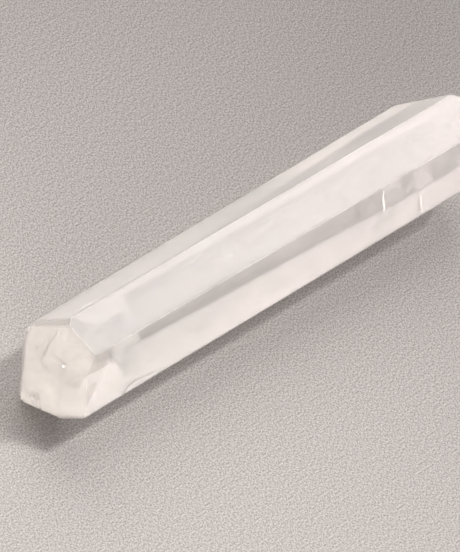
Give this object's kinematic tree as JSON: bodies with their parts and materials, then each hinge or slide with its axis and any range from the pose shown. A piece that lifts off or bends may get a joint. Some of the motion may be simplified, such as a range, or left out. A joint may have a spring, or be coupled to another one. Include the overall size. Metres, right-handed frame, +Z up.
{
  "type": "quartz crystal point",
  "caption": "Long six-sided polished quartz point with a flat cut base and a faceted tip, lying on one prism face.",
  "frame": {"origin": "on the resting surface, under the middle of the crystal's bounding box", "axes": "+X along the crystal from its cut base to its tip, +Z up from the resting face"},
  "size_m": [0.1154, 0.0164, 0.0162],
  "materials": {
    "quartz": "polished, clear to milky"
  },
  "bodies": {
    "root": {"quartz_point": "quartz"}
  },
  "joints": []
}
